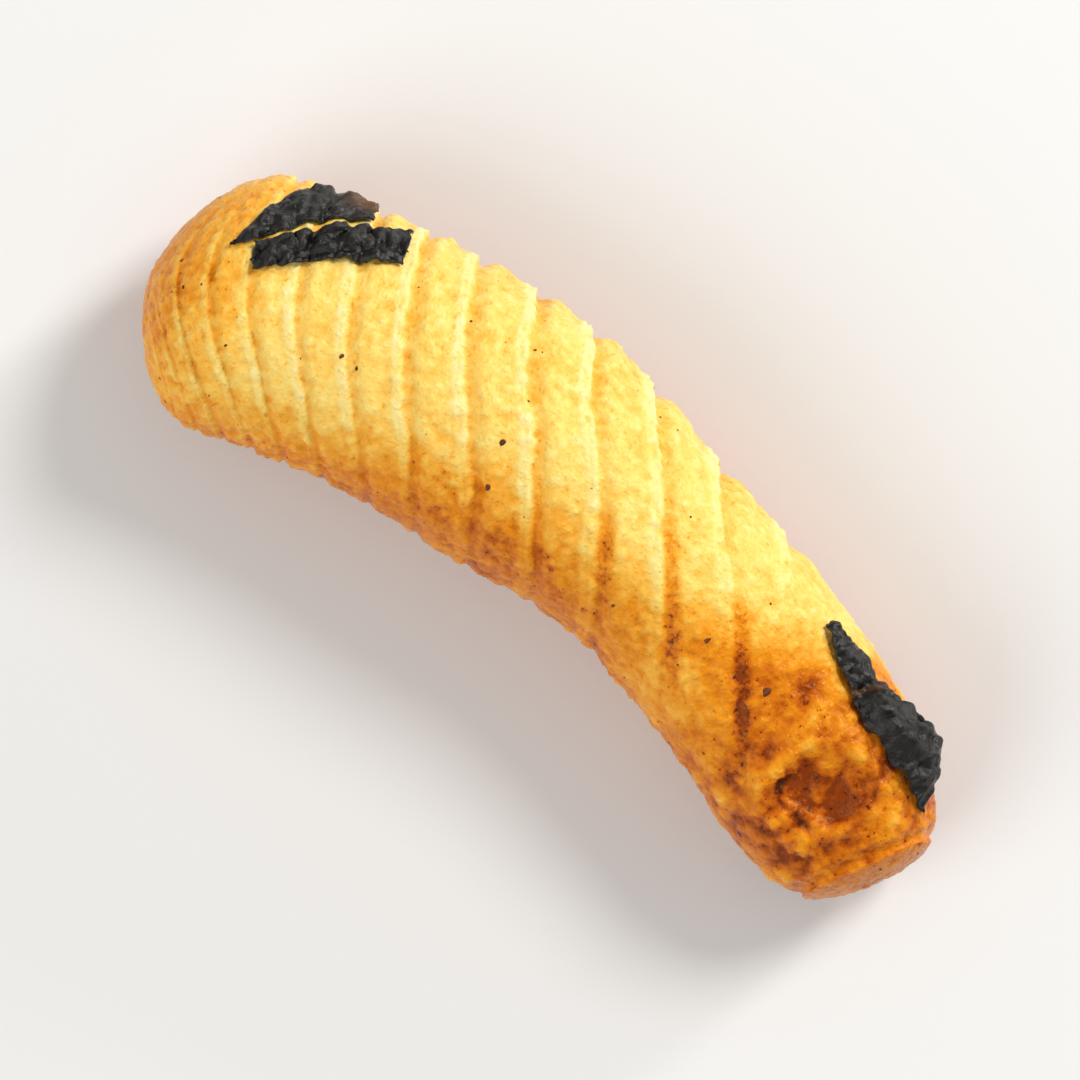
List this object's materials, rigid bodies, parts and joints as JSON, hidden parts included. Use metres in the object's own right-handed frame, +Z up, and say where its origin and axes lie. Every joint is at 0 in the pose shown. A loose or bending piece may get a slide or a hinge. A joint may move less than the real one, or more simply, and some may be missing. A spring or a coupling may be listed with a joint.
{
  "type": "japanese rice cracker",
  "caption": "Curved ribbed rice cracker with strips of dried seaweed, toasted pale yellow, lying on its flattened underside.",
  "frame": {"origin": "middle of the bounding box, on the ground under the flattened underside", "axes": "+X along the chord of the bend from the fat end to the thin end, +Y to the outer side of the bend, +Z up"},
  "size_m": [0.0418, 0.0148, 0.011],
  "materials": {
    "toasted_crust": "puffed rice dough, thinly glazed, toasted brown in places",
    "dried_seaweed": "dried, crumpled, slightly glossy black-green sheet"
  },
  "bodies": {
    "root": {"cracker": "toasted_crust", "nori_back_strip": "dried_seaweed", "nori_front_strip": "dried_seaweed", "nori_curled_strip": "dried_seaweed"}
  },
  "joints": []
}
